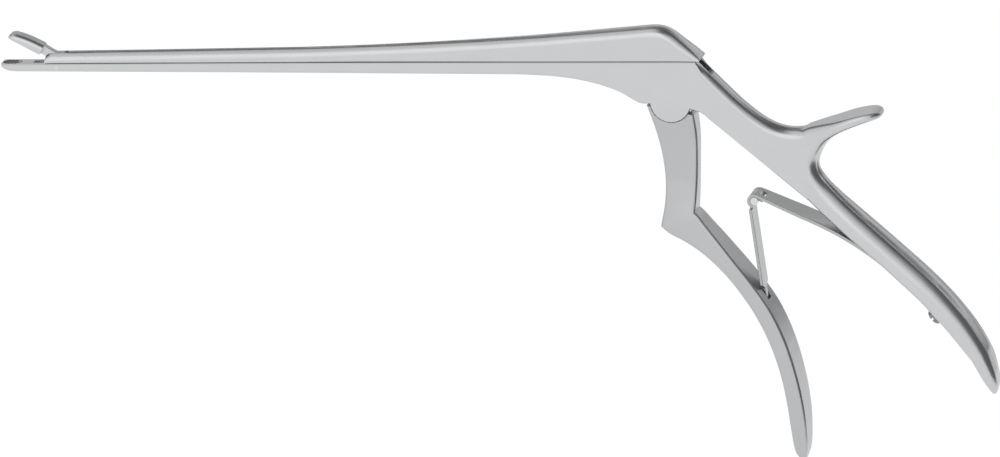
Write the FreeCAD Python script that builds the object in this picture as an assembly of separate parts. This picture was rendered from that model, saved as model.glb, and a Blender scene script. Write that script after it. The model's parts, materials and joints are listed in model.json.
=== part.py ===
import FreeCAD, Part
import math
import os

# Rongeur with a sliding shaft, 180 mm from the jaw tip to the rear end of the slide.
# Millimetres and degrees. x runs along the shaft towards the handles, z is up, y is across.
# Outlines are written in the side view, measured from the lever's pivot: (x, z).
# The model's origin is the saddle between thumb spur and rear handle, where the web of the thumb rests.
# It is modelled at rest: jaws open, handles apart.

# Overall
WORKING_LENGTH = 180.0
SLIDE_REAR_X = 8.2
SADDLE = (36.0, -15.9)
PARTING_HEIGHT = 10.5
PARTING_GAP = 0.12
SEAM_BREAK = 0.2

# Widths across
SHAFT_WIDTH = 5.0
BODY_WIDTH = 7.4
GRIP_WIDTH = 11.6
SPUR_WIDTH = 12.0
FLARE_FRONT_X = -80.0
FLARE_REAR_X = 12.0

# Lower shaft and fixed jaw
NOSE_DEPTH = 2.0
SHAFT_DEPTH_MIDDLE = 2.7
SHAFT_DEPTH_REAR = 3.2
SHAFT_REAR_X = -40.4
SHAFT_MIDDLE_SHARE = 0.43
SHAFT_EDGE_RADIUS = 0.7
NOSE_ROUND = 3.6
NOSE_CORNER = 0.9
CUP_SETBACK = 0.75
CUP_LENGTH = 4.4
CUP_WALL = 0.65
CUP_DEPTH = 1.35

# Frame body and neck
BOSS_RADIUS = 5.1
BOSS_APEX_ANGLE = -18.3
BOSS_SEAM = 0.2
BOSS_STEPS = 11
BELLY_STEPS = 6
LAND_HEIGHT = -0.15
LAND_FRONT_X = -8.0
BODY_REAR_X = 7.0
NECK_SLOPE = 46.5
NECK_SLOPE_RUN = 8.7
NECK_HEEL = (7.7, -2.5)
NECK_ROOT = (33.6, -25.3)
NECK_END = (34.8, -7.0)
NECK_END_ANGLE = 14
NECK_SPREAD_X = 28.0
NECK_SPREAD = 0.45
NECK_STEPS = 8
NECK_EDGE_RADIUS = 2.2
NECK_CROWN = 0.2
BACK_EDGE_RADIUS = 3.0
BACK_CROWN = 0.35
INNER_EDGE_RADIUS = 1.0
SPUR_ROWS = 12

# Slide
SLIDE_FRONT_SETBACK = 11.4
SLIDE_FRONT_HEIGHT = 2.6
SLIDE_FRONT_ROUND = 1.8
SLIDE_PEAK_HEIGHT = 8.35
SLIDE_PEAK_X = -5.5
SLIDE_SLOPE_TOP = (2.8, 5.55)
SLIDE_REAR_ROUND = 0.7
SLIDE_EDGE_RADIUS = 2.0
SLIDE_CROWN = 0.15
SLIDE_TRAVEL = 2.1
PEAK_STEPS = 7

# Guide lugs under the slide, T-shaped, and the slots they run in
LUG_SETBACK = 22.2
REAR_LUG_X = -40.0
LUG_LENGTH = 7.0
LUG_STEM_WIDTH = 1.6
LUG_HEAD_WIDTH = 3.0
LUG_STEM_HEIGHT = 0.75
LUG_HEAD_HEIGHT = 0.8
LUG_CLEARANCE = 0.06
LUG_ENTRY_GAP = 0.6

# Lever
TONGUE_WIDTH = 3.0
TONGUE_CLEARANCE = 0.05
TONGUE_RADIUS = 4.6
TONGUE_HALF_NECK = 3.8
FORK_END_CLEARANCE = 0.4
SLOT_FLOOR_HEIGHT = 6.6
SHOULDER_WIDTH = 6.4
WAIST_WIDTH = 5.0
KINK_WIDTH = 7.2
LEVER_GRIP_WIDTH = 11.4
LEVER_EDGE_RADIUS = 0.8
LEVER_FRONT_RADIUS = 1.0
DRIVE_ARM = 13.4
FINGER_RADIUS = 2.0
FINGER_ROOT_HALF = 3.4
FINGER_ROOM = 0.35
FINGER_SLOT_PLAY = 0.35
FINGER_SWING_ROOM = 0.65

# Pins and screws
PIVOT_SHANK_DIAMETER = 3.4
PIVOT_HEAD_DIAMETER = 5.2
PIVOT_HEAD_HEIGHT = 0.8
PIVOT_HEAD_SETBACK = 0.15
PIVOT_SEAT_GAP = 0.02
PIVOT_DRIVER_SLOT = (0.8, 0.45)
NEAR_CHEEK_SKIN = 0.8
DRIVE_PIN_DIAMETER = 2.0
JAW_PIN_DIAMETER = 0.9
LINK_PIN_DIAMETER = 0.76
RUNNING_CLEARANCE = 0.04
PIN_SETBACK = 0.03

# Hinged jaw
JAW_OPEN_ANGLE = 28.8
JAW_PIN_SETBACK = 14.4
JAW_PIN_DEPTH = 1.1
JAW_HEIGHT = 2.35
CUP_RIM_BREAK = 0.05
JAW_EDGE_RADIUS = 1.15
JAW_GAP = 0.03
CUP_BODY_REAR = 5.3
TANG_WIDTH = 2.2
TANG_CLEARANCE = 0.08
EYE_RADIUS = 0.88
LINK_ARM = 2.3
TANG_WALL_RADIUS = 0.8
SLIDE_FORK_REAR = 2.9
FRAME_FORK_FRONT = 6.2
FRAME_FORK_REAR = 1.9

# Springs
SPRING_THICKNESS = 0.8
ROLL_PIN_DIAMETER = 2.0
ROLL_GAP = 0.03
ROLL_WIDTH = 7.0
ROLL_END_ANGLE = 250.0
LEAF_WIDTH = 9.0
LEAF_SLOPE = -24.0
LEAF_FULL_WIDTH_X = 31.0
LEAF_END_SLOPE = -49.5
EYE_WIDTH = 3.0
EYE_END_ANGLE = -30.0
KNUCKLE_GAP = 0.15
EYE_SLOT_REACH = 2.5
LEAF_BOW = 0.85
STRUT_WIDTH = 6.2
STRUT_FOOT = (20.7, -51.8)
STRUT_LENGTH = 26.2
STRUT_LEAN = 5.0
STRUT_SHOULDER_DROP = 2.3
FOOT_WIDTH = 2.0
FOOT_LENGTH = 3.2
FOOT_TAPER = 1.0
FOOT_CLEARANCE = 0.38
FOOT_SIDE_CLEARANCE = 0.55
FOOT_POCKET_LENGTH = 4.5
SEAT_GAP = 0.03
SEAT_SIDE_GAP = 0.15
SEAT_OPENING = 4.0
SCREW_FROM_END = 4.9
SCREW_HEAD_DIAMETER = 4.0
SCREW_HEAD_HEIGHT = 2.1
SCREW_HEAD_CHAMFER = 0.35
SCREW_SHANK_DIAMETER = 2.4
SCREW_SHANK_LENGTH = 3.6
SCREW_DRIVER_SLOT = (0.6, 0.7)

REACH = 30.0
Y_AXIS = FreeCAD.Vector(0, 1, 0)

NOSE_X = SLIDE_REAR_X - WORKING_LENGTH
SLIDE_FRONT_X = NOSE_X + SLIDE_FRONT_SETBACK
SLIDE_FLOOR = PARTING_HEIGHT + PARTING_GAP
JAW_PIN = (NOSE_X + JAW_PIN_SETBACK, PARTING_HEIGHT - JAW_PIN_DEPTH)
DRIVE_PIN = (SLIDE_TRAVEL / 2, DRIVE_ARM)
LINK_PIN = (JAW_PIN[0] + SLIDE_TRAVEL / 2, JAW_PIN[1] + LINK_ARM)
LUG_CENTRES_X = (SLIDE_FRONT_X + LUG_SETBACK, REAR_LUG_X)
FORK_WIDTH = TONGUE_WIDTH + 2 * TONGUE_CLEARANCE
JAW_FORK_WIDTH = TANG_WIDTH + 2 * TANG_CLEARANCE
ROLL_RADIUS = ROLL_PIN_DIAMETER / 2 + ROLL_GAP + SPRING_THICKNESS / 2


def at(point, y=0.0):
    """Model point for a side-view point measured from the pivot."""
    return FreeCAD.Vector(point[0] - SADDLE[0], y, point[1] - SADDLE[1])


def heading(angle):
    """Unit vector in the side view, degrees up from +x."""
    turn = math.radians(angle)
    return FreeCAD.Vector(math.cos(turn), 0, math.sin(turn))


def polar(centre, radius, angle):
    """Side-view point on a circle, degrees up from +x."""
    turn = math.radians(angle)
    return (centre[0] + radius * math.cos(turn), centre[1] + radius * math.sin(turn))


# The roll stands on the strut, and the strut's foot stays where it is in the lever's pocket.
ROLL_CENTRE = polar(polar(STRUT_FOOT, STRUT_LENGTH, 90 + STRUT_LEAN), ROLL_RADIUS, STRUT_LEAN)


def between(start, end, share):
    """Side-view point on the straight way from start to end."""
    return (start[0] + share * (end[0] - start[0]), start[1] + share * (end[1] - start[1]))


def turned(point, centre, angle):
    """Side-view point turned about a centre, degrees from +x towards +z."""
    turn = math.radians(angle)
    dx = point[0] - centre[0]
    dz = point[1] - centre[1]
    x = centre[0] + dx * math.cos(turn) - dz * math.sin(turn)
    z = centre[1] + dx * math.sin(turn) + dz * math.cos(turn)
    return (x, z)


def line(start, end):
    return Part.makeLine(at(start), at(end))


def arc(start, middle, end):
    return Part.Arc(at(start), at(middle), at(end)).toShape()


def circle_arc(centre, radius, first, last):
    """Arc of a circle in the side view, from angle first to angle last."""
    middle = (first + last) / 2
    return arc(polar(centre, radius, first), polar(centre, radius, middle), polar(centre, radius, last))


def smooth(points, start_angle, end_angle):
    """Spline through side-view points with the given headings at its ends."""
    spline = Part.BSplineCurve()
    vectors = [at(point) for point in points]
    spline.interpolate(Points=vectors, InitialTangent=heading(start_angle), FinalTangent=heading(end_angle))
    return spline


def beside(spline, distance):
    """Spline at an even distance to the left of a side-view spline's way."""
    count = 14
    begin, end = spline.FirstParameter, spline.LastParameter
    points = []
    for step in range(count + 1):
        value = begin + (end - begin) * step / count
        way = spline.tangent(value)[0]
        left = FreeCAD.Vector(-way.z, 0, way.x)
        points.append(spline.value(value) + left * distance)
    result = Part.BSplineCurve()
    first_way = spline.tangent(begin)[0]
    last_way = spline.tangent(end)[0]
    result.interpolate(Points=points, InitialTangent=first_way, FinalTangent=last_way)
    return result


def plate(edges, width):
    """Closed side-view outline extruded to an even width about the middle plane."""
    solid = Part.Face(Part.Wire(edges)).extrude(FreeCAD.Vector(0, width, 0))
    solid.translate(FreeCAD.Vector(0, -width / 2, 0))
    return solid


def polygon(points, width):
    """Straight-sided plate through side-view points."""
    corners = [at(point) for point in points]
    solid = Part.Face(Part.makePolygon(corners + corners[:1])).extrude(FreeCAD.Vector(0, width, 0))
    solid.translate(FreeCAD.Vector(0, -width / 2, 0))
    return solid


def block(x_range, z_range, width):
    x0, x1 = x_range
    z0, z1 = z_range
    return polygon([(x0, z0), (x1, z0), (x1, z1), (x0, z1)], width)


def cross_pin(centre, diameter, near, far):
    """Cylinder across the instrument from y = near to y = far."""
    return Part.makeCylinder(diameter / 2, far - near, at(centre, near), Y_AXIS)


def plan_prism(corners, low, high):
    """Outline in plan, measured from the pivot as (x, y), extruded upright from low to high."""
    points = [FreeCAD.Vector(x - SADDLE[0], y, low - SADDLE[1]) for x, y in corners]
    return Part.Face(Part.makePolygon(points + points[:1])).extrude(FreeCAD.Vector(0, 0, high - low))


def flare_half_width(x):
    """Half width of shaft and body, even in front, then growing to the body's."""
    share = min(max((x - FLARE_FRONT_X) / (FLARE_REAR_X - FLARE_FRONT_X), 0.0), 1.0)
    eased = share * (1 + 0.35 * share - 0.35 * share * share)
    return (SHAFT_WIDTH + (BODY_WIDTH - SHAFT_WIDTH) * eased) / 2


def rounded_wire(corners, radii, crown):
    """Closed planar wire with an arc of its own radius at each corner, or a bevel where it is only broken.

    Its sides are straight, but for the last, which bulges out by the crown.
    """
    starts = []
    middles = []
    ends = []
    for index, corner in enumerate(corners):
        before = corners[index - 1] - corner
        after = corners[(index + 1) % len(corners)] - corner
        before.normalize()
        after.normalize()
        half_angle = math.acos(before.dot(after)) / 2
        inward = before + after
        inward.normalize()
        setback = radii[index] / math.tan(half_angle)
        centre = corner + inward * (radii[index] / math.sin(half_angle))
        starts.append(corner + before * setback)
        middles.append(centre - inward * radii[index])
        ends.append(corner + after * setback)
    edges = []
    for index, start in enumerate(starts):
        if radii[index] > SEAM_BREAK:
            edges.append(Part.Arc(start, middles[index], ends[index]).toShape())
        else:
            edges.append(Part.makeLine(start, ends[index]))
        edges.append(Part.makeLine(ends[index], starts[(index + 1) % len(starts)]))
    if crown > 0:
        outward = corners[0] - corners[1]
        outward.normalize()
        top = (ends[-1] + starts[0]) * 0.5 + outward * crown
        edges[-1] = Part.Arc(ends[-1], top, starts[0]).toShape()
    return Part.Wire(edges)


def section(back, front, back_half, front_half, back_radius, front_radius, crown=0.0):
    """Rounded four-sided section, across the instrument from a back to a front point."""
    rear = at(back)
    fore = at(front)
    room = 0.92 * (fore - rear).Length / (back_radius + front_radius)
    shrink = min(1.0, room)
    rear_round = min(back_radius * shrink, 0.9 * back_half)
    fore_round = min(front_radius * shrink, 0.9 * front_half)
    corners = [
        rear - Y_AXIS * back_half,
        fore - Y_AXIS * front_half,
        fore + Y_AXIS * front_half,
        rear + Y_AXIS * back_half,
    ]
    return rounded_wire(corners, [rear_round, fore_round, fore_round, rear_round], crown)


def loft(rows):
    """Solid through rounded sections, straight from each one to the next."""
    return Part.makeLoft([section(*row) for row in rows], True, True)


def eased(rows):
    """Rows with one more between each two, placed on an even curve through their neighbours."""
    flat = [list(row[0]) + list(row[1]) + list(row[2:]) for row in rows]
    gaps = [math.dist(first[:4], second[:4]) for first, second in zip(flat, flat[1:])]
    slopes = []
    for index in range(len(flat)):
        before = max(index - 1, 0)
        after = min(index + 1, len(flat) - 1)
        span = sum(gaps[before:after])
        slopes.append([(late - early) / span for early, late in zip(flat[before], flat[after])])
    result = []
    for index, gap in enumerate(gaps):
        result.append(rows[index])
        ends = zip(flat[index], flat[index + 1], slopes[index], slopes[index + 1])
        middle = [(start + end) / 2 + gap * (leave - arrive) / 8 for start, end, leave, arrive in ends]
        result.append((tuple(middle[:2]), tuple(middle[2:4]), *middle[4:]))
    result.append(rows[-1])
    return result


def one_solid(shape):
    """The single solid of a result, with faces that continue each other joined."""
    solids = shape.removeSplitter().Solids
    if len(solids) != 1:
        print("expected one solid, found", len(solids))
    return max(solids, key=lambda solid: solid.Volume)


# Rear handle and thumb spur: sections that fan from the spur's tip round the saddle to the handle's tip.
def rear_handle_rows():
    neck = BODY_WIDTH / 2 - 0.05
    grip = GRIP_WIDTH / 2
    spur = SPUR_WIDTH / 2
    back = BACK_EDGE_RADIUS
    inner = INNER_EDGE_RADIUS
    crown = BACK_CROWN
    x, z = SADDLE
    return [
        ((53.1, -4.2), (53.3, -3.6), 0.26 * spur, 0.26 * spur, 0.25, 0.25, 0.0),
        ((52.3, -4.5), (52.7, -3.1), 0.55 * spur, 0.55 * spur, 0.5, 0.6, 0.0),
        ((50.6, -4.85), (51.2, -2.85), 0.8 * spur, 0.8 * spur, 0.8, 0.8 * inner, 0.0),
        ((47.6, -5.75), (48.2, -3.25), 0.95 * spur, 0.95 * spur, 1.0, inner, 0.1 * crown),
        ((44.2, -7.0), (44.6, -4.1), spur, spur, 0.4 * back, 1.1 * inner, 0.3 * crown),
        ((41.2, -8.7), (40.6, -5.2), 0.94 * spur, 0.93 * spur, 0.55 * back, 1.5 * inner, 0.6 * crown),
        ((38.6, -10.9), (36.4, -6.2), 0.8 * spur, 0.75 * spur, 0.75 * back, 1.9 * inner, crown),
        ((x + 0.95, -13.4), (32.0, -8.05), neck + 0.7, neck + 0.05, 0.85 * back, 2.1 * inner, crown),
        ((x, z), (29.5, -13.6), neck + 0.65, neck - 0.05, 0.85 * back, 0.6 * inner, crown),
        ((x + 0.35, z - 2.7), (29.6, -19.6), neck + 0.75, neck - 0.05, 0.85 * back, 0.6 * inner, crown),
        ((38.7, -22.0), (33.4, -25.1), neck + 1.1, neck, 0.9 * back, 0.7 * inner, crown),
        ((42.5, -26.1), (38.4, -29.9), 0.9 * grip, 0.8 * grip, 0.93 * back, 0.8 * inner, crown),
        ((47.0, -30.4), (43.3, -34.6), 0.97 * grip, 0.91 * grip, 0.97 * back, 0.9 * inner, crown),
        ((55.9, -38.8), (52.6, -43.0), grip, 0.97 * grip, back, inner, crown),
        ((64.4, -47.1), (60.8, -51.2), grip, 0.97 * grip, back, inner, crown),
        ((71.4, -55.5), (67.3, -59.0), 0.98 * grip, 0.95 * grip, 0.97 * back, inner, crown),
        ((76.4, -63.9), (72.9, -66.9), 0.9 * grip, 0.86 * grip, 0.8 * back, inner, 0.9 * crown),
        ((78.4, -70.5), (75.4, -72.4), 0.69 * grip, 0.66 * grip, 0.57 * back, 0.8 * inner, 0.7 * crown),
        ((78.6, -74.2), (76.7, -75.2), 0.43 * grip, 0.41 * grip, 0.28 * back, 0.6 * inner, 0.4 * crown),
        ((78.0, -76.2), (77.2, -76.4), 0.17 * grip, 0.17 * grip, 0.1 * back, 0.3 * inner, 0.0),
    ]


# Lever: neck from the shoulder to the kink, then the finger strap.
def lever_neck_rows():
    edge = LEVER_EDGE_RADIUS
    shoulder = SHOULDER_WIDTH / 2
    waist = WAIST_WIDTH / 2
    kink = KINK_WIDTH / 2
    return [
        ((5.7, -3.4), (-6.25, -0.8), shoulder, shoulder, edge, edge),
        ((6.1, -8.0), (-4.3, -7.6), (shoulder + waist) / 2, (shoulder + waist) / 2, edge, edge),
        ((5.9, -14.0), (-3.15, -14.0), waist, waist, edge, edge),
        ((5.5, -20.0), (-2.75, -20.0), waist + 0.05, waist + 0.05, edge, edge),
        ((5.0, -25.0), (-3.15, -26.0), (waist + kink) / 2, (waist + kink) / 2, edge, edge),
        ((4.5, -28.6), (-4.5, -32.1), kink, kink, edge, LEVER_FRONT_RADIUS),
    ]


def lever_strap_rows():
    edge = LEVER_EDGE_RADIUS
    front = LEVER_FRONT_RADIUS
    kink = KINK_WIDTH / 2
    grip = LEVER_GRIP_WIDTH / 2
    return lever_neck_rows()[-1:] + [
        ((5.45, -29.5), (-2.6, -33.8), kink + 0.2, kink + 0.2, edge, front),
        ((7.1, -31.7), (1.0, -35.7), kink + 0.5, kink + 0.5, edge, front),
        ((10.15, -35.6), (5.4, -38.5), 0.82 * grip, 0.82 * grip, edge, front),
        ((14.4, -41.2), (10.35, -42.95), 0.93 * grip, 0.93 * grip, edge, front),
        ((18.4, -46.6), (14.5, -48.1), 0.98 * grip, 0.98 * grip, edge, front),
        ((22.8, -53.6), (18.85, -55.2), grip, grip, edge, front),
        ((26.2, -62.0), (22.2, -63.2), 0.98 * grip, 0.98 * grip, edge, front),
        ((28.5, -71.5), (24.4, -72.1), 0.93 * grip, 0.93 * grip, edge, front),
        ((29.6, -80.0), (25.4, -80.3), 0.84 * grip, 0.84 * grip, edge, 0.9 * front),
        ((29.7, -86.7), (25.85, -87.0), 0.7 * grip, 0.7 * grip, edge, 0.8 * front),
        ((29.3, -91.0), (26.4, -91.3), 0.53 * grip, 0.53 * grip, 0.8 * edge, 0.6 * front),
        ((28.5, -93.3), (27.5, -93.4), 0.25 * grip, 0.25 * grip, 0.4 * edge, 0.3 * front),
    ]


def shaft_depth_rows():
    """Shaft from the nose of the fixed jaw to the land before the pivot, flat on top."""
    floor = PARTING_HEIGHT
    rows = []
    for along, share in ((0.0, 0.2), (0.1, 0.5), (0.3, 0.74), (0.6, 0.92), (1.0, 1.0)):
        rows.append(body_row((NOSE_X + along * NOSE_ROUND, floor - share * NOSE_DEPTH)))
    middle = SHAFT_REAR_X + SHAFT_MIDDLE_SHARE * (rows[-1][0][0] - SHAFT_REAR_X)
    rows.append(body_row((middle, floor - SHAFT_DEPTH_MIDDLE)))
    shaft_rear = (SHAFT_REAR_X, floor - SHAFT_DEPTH_REAR)
    land_front = (LAND_FRONT_X, LAND_HEIGHT)
    belly = smooth([shaft_rear, (-29.5, 6.8), (-21.3, 5.5), (-13.7, 3.1), land_front], -2, -39)
    rows += [body_row(point) for point in points_along(belly, BELLY_STEPS)]
    return rows


def body_row(under):
    """Section of shaft or body above a point of its underside."""
    half = flare_half_width(under[0])
    return ((under[0], PARTING_HEIGHT), under, half, half, SEAM_BREAK, SHAFT_EDGE_RADIUS, 0.0)


def points_along(spline, steps):
    """Side-view points at even steps along a spline, ends included."""
    points = []
    for step in range(steps + 1):
        value = spline.FirstParameter + (spline.LastParameter - spline.FirstParameter) * step / steps
        place = spline.value(value)
        points.append((place.x + SADDLE[0], place.z + SADDLE[1]))
    return points


def boss_rows():
    """Body over the round boss at the pivot, from the land to the foot of the neck."""
    first = 180 + math.degrees(math.asin(-LAND_HEIGHT / BOSS_RADIUS))
    last = 360 + BOSS_APEX_ANGLE
    start_x = polar((0, 0), BOSS_RADIUS, first)[0]
    rows = []
    for step in range(BOSS_STEPS + 1):
        share = step / BOSS_STEPS
        top_x = start_x + share * (BODY_REAR_X - start_x)
        under = polar((0, 0), BOSS_RADIUS, first + share * (last - first))
        half = flare_half_width(top_x)
        rows.append(((top_x, PARTING_HEIGHT), under, half, half, SEAM_BREAK, SEAM_BREAK, 0.0))
    return rows


def neck_rows():
    """Neck from the slide's rear end down into the root of the handle, with a rounded back."""
    slope = math.tan(math.radians(NECK_SLOPE))
    apex = polar((0, 0), BOSS_RADIUS, BOSS_APEX_ANGLE)
    tops = [(BODY_REAR_X + run, PARTING_HEIGHT - run * slope) for run in (0.5, 1.5, 3.6, 6.2)]
    slope_end = (BODY_REAR_X + NECK_SLOPE_RUN, PARTING_HEIGHT - NECK_SLOPE_RUN * slope)
    dip = [(20.0, -2.7), (23.9, -5.55), (29.6, -7.5), (33.2, -7.35)]
    back = smooth([slope_end] + dip + [NECK_END], -NECK_SLOPE, NECK_END_ANGLE)
    tops += points_along(back, NECK_STEPS)
    rows = []
    for index, top in enumerate(tops):
        share = (index - 1) / (len(tops) - 2)
        under = between(NECK_HEEL, NECK_ROOT, share)
        if index == 0:
            under = between(apex, NECK_HEEL, 0.5)
        full = min(1.0, (top[0] - BODY_REAR_X + 0.2) / 2.0)
        spread = max(0.0, (top[0] - NECK_SPREAD_X) / (NECK_END[0] - NECK_SPREAD_X))
        half = flare_half_width(top[0])
        back_half = half + NECK_SPREAD * spread * spread
        rows.append((top, under, back_half, half, full * NECK_EDGE_RADIUS, SEAM_BREAK, full * NECK_CROWN))
    return rows


def leaf_line():
    """Middle line of the leaf spring, from its end under the handle to the top of its roll."""
    root = (46.9, -38.0)
    roll_top = polar(ROLL_CENTRE, ROLL_RADIUS, 90 + LEAF_SLOPE)
    way = math.degrees(math.atan2(roll_top[1] - root[1], roll_top[0] - root[0]))
    points = [(67.9, -59.1), (61.1, -50.9), (52.9, -42.75), root]
    for share, rise in ((0.38, 1.0), (0.7, 0.5)):
        along = polar(root, share * math.dist(root, roll_top), way)
        points.append(polar(along, rise * LEAF_BOW, way - 90))
    points.append(roll_top)
    return smooth(points, 180 + LEAF_END_SLOPE, 180 + LEAF_SLOPE)


def leaf_screw_place():
    """Where the spring screw crosses the leaf's middle line, and the way out of the handle."""
    spline = leaf_line()
    value = spline.parameterAtDistance(SCREW_FROM_END, spline.FirstParameter)
    way = spline.tangent(value)[0]
    outward = FreeCAD.Vector(-way.z, 0, way.x)
    return spline.value(value), outward


def nose_corner_cuts(low, high):
    """Solids that round the jaws' front corners in plan."""
    half = SHAFT_WIDTH / 2
    cuts = []
    for side in (-1, 1):
        corner = [(NOSE_X - 1, side * (half - NOSE_CORNER)), (NOSE_X + NOSE_CORNER, side * (half - NOSE_CORNER))]
        corner += [(NOSE_X + NOSE_CORNER, side * (half + 1)), (NOSE_X - 1, side * (half + 1))]
        square = plan_prism(corner, low, high)
        centre = FreeCAD.Vector(
            NOSE_X + NOSE_CORNER - SADDLE[0], side * (half - NOSE_CORNER), low - SADDLE[1]
        )
        round_post = Part.makeCylinder(NOSE_CORNER, high - low, centre)
        cuts.append(square.cut(round_post))
    return cuts


def cup_pocket(depth_low, depth_high):
    """Stadium-ended hollow of a cup jaw."""
    half = SHAFT_WIDTH / 2 - CUP_WALL
    front = NOSE_X + CUP_SETBACK
    height = depth_high - depth_low
    centres = (front + half * 0.7, front + CUP_LENGTH - half)
    low = depth_low - SADDLE[1]
    posts = [Part.makeCylinder(half, height, FreeCAD.Vector(x - SADDLE[0], 0, low)) for x in centres]
    middle = [(centres[0], -half), (centres[1], -half), (centres[1], half), (centres[0], half)]
    return posts[0].multiFuse([posts[1], plan_prism(middle, depth_low, depth_high)])


def fork_cut():
    """Slot in the frame for the lever's tongue and finger, open below, above and on the rear slope."""
    half = TONGUE_RADIUS + FORK_END_CLEARANCE
    rear = BODY_REAR_X + REACH
    low = -BOSS_RADIUS - 2
    high = PARTING_HEIGHT + 2
    points = [(-half, low), (half, low), (half, SLOT_FLOOR_HEIGHT)]
    points += [(rear, SLOT_FLOOR_HEIGHT), (rear, high), (-half, high)]
    return polygon(points, FORK_WIDTH)


def lug_parts(centre, grow, travel, entry):
    """T-shaped guide lug, or with clearance, travel and an entry window the slot that it runs in."""
    front = centre - LUG_LENGTH / 2 - grow - travel
    rear = centre + LUG_LENGTH / 2 + grow
    stem_low = SLIDE_FLOOR - LUG_STEM_HEIGHT
    head_low = stem_low - LUG_HEAD_HEIGHT
    high = PARTING_HEIGHT + 1 if entry else SLIDE_FLOOR + 0.1
    stem = block((front, rear), (stem_low, high), LUG_STEM_WIDTH + 2 * grow)
    head = block((front, rear), (head_low - grow, stem_low + grow), LUG_HEAD_WIDTH + 2 * grow)
    if not entry:
        return [stem, head]
    window_front = rear + LUG_ENTRY_GAP
    window_rear = window_front + LUG_LENGTH + 2 * grow
    tunnel = block((front, window_rear), (head_low - grow, stem_low + grow), LUG_HEAD_WIDTH + 2 * grow)
    throat = block((rear, window_front), (stem_low, high), LUG_STEM_WIDTH + 2 * grow)
    window = block((window_front, window_rear), (head_low - grow, high), LUG_HEAD_WIDTH + 2 * grow)
    return [stem, head, throat, tunnel, window]


def leaf_seat():
    """Shallow seat in the handle's inner face that the leaf's root lies in."""
    spline = leaf_line()
    floor = beside(spline, -SPRING_THICKNESS / 2 - SEAT_GAP)
    open_side = beside(spline, SEAT_OPENING)
    start = floor.value(floor.FirstParameter)
    end = floor.value(floor.LastParameter)
    start_out = open_side.value(open_side.FirstParameter)
    end_out = open_side.value(open_side.LastParameter)
    edges = [
        floor.toShape(),
        Part.makeLine(end, end_out),
        open_side.toShape(),
        Part.makeLine(start_out, start),
    ]
    ordered = Part.Wire(Part.__sortEdges__(edges))
    width = LEAF_WIDTH + 2 * SEAT_SIDE_GAP
    solid = Part.Face(ordered).extrude(FreeCAD.Vector(0, width, 0))
    solid.translate(FreeCAD.Vector(0, -width / 2, 0))
    return solid


def make_frame():
    body = loft(shaft_depth_rows() + boss_rows() + neck_rows())
    rows = rear_handle_rows()
    solid = body.fuse(loft(eased(rows[:SPUR_ROWS]) + rows[SPUR_ROWS:]))

    cuts = [fork_cut(), leaf_seat()]
    cuts += nose_corner_cuts(0.0, PARTING_HEIGHT + 2)
    cuts.append(cup_pocket(PARTING_HEIGHT - CUP_DEPTH, PARTING_HEIGHT + 1))
    fork_front = JAW_PIN[0] - FRAME_FORK_FRONT
    fork_rear = JAW_PIN[0] + FRAME_FORK_REAR
    cuts.append(block((fork_front, fork_rear), (0.0, PARTING_HEIGHT + 1), JAW_FORK_WIDTH))
    for centre in LUG_CENTRES_X:
        cuts += lug_parts(centre, LUG_CLEARANCE, SLIDE_TRAVEL, True)
    cuts.append(cross_pin(JAW_PIN, JAW_PIN_DIAMETER, -BODY_WIDTH, BODY_WIDTH))
    cheek = BODY_WIDTH / 2
    bore = PIVOT_SHANK_DIAMETER + 2 * PIVOT_SEAT_GAP
    cuts.append(cross_pin((0, 0), bore, -cheek + NEAR_CHEEK_SKIN - PIVOT_SEAT_GAP, cheek + 1))
    head_low = flare_half_width(0) - PIVOT_HEAD_SETBACK - PIVOT_HEAD_HEIGHT - PIVOT_SEAT_GAP
    cuts.append(cross_pin((0, 0), PIVOT_HEAD_DIAMETER + 2 * PIVOT_SEAT_GAP, head_low, cheek + 1))
    place, outward = leaf_screw_place()
    length = SCREW_SHANK_LENGTH + SPRING_THICKNESS
    cuts.append(Part.makeCylinder(SCREW_SHANK_DIAMETER / 2, length, place, outward * -1))
    return one_solid(solid.cut(cuts))


def make_pivot_screw():
    cheek = BODY_WIDTH / 2
    head_high = flare_half_width(0) - PIVOT_HEAD_SETBACK
    head_low = head_high - PIVOT_HEAD_HEIGHT
    shank = cross_pin((0, 0), PIVOT_SHANK_DIAMETER, -cheek + NEAR_CHEEK_SKIN, head_low)
    head = cross_pin((0, 0), PIVOT_HEAD_DIAMETER, head_low, head_high)
    slot_width, slot_depth = PIVOT_DRIVER_SLOT
    slot = Part.makeBox(slot_width, slot_depth + 1, PIVOT_HEAD_DIAMETER + 1)
    slot.translate(FreeCAD.Vector(-slot_width / 2, head_high - slot_depth, -PIVOT_HEAD_DIAMETER / 2 - 0.5))
    slot.rotate(FreeCAD.Vector(0, 0, 0), Y_AXIS, 35)
    slot.translate(at((0, 0)))
    return one_solid(shank.fuse(head).cut(slot))


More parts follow.
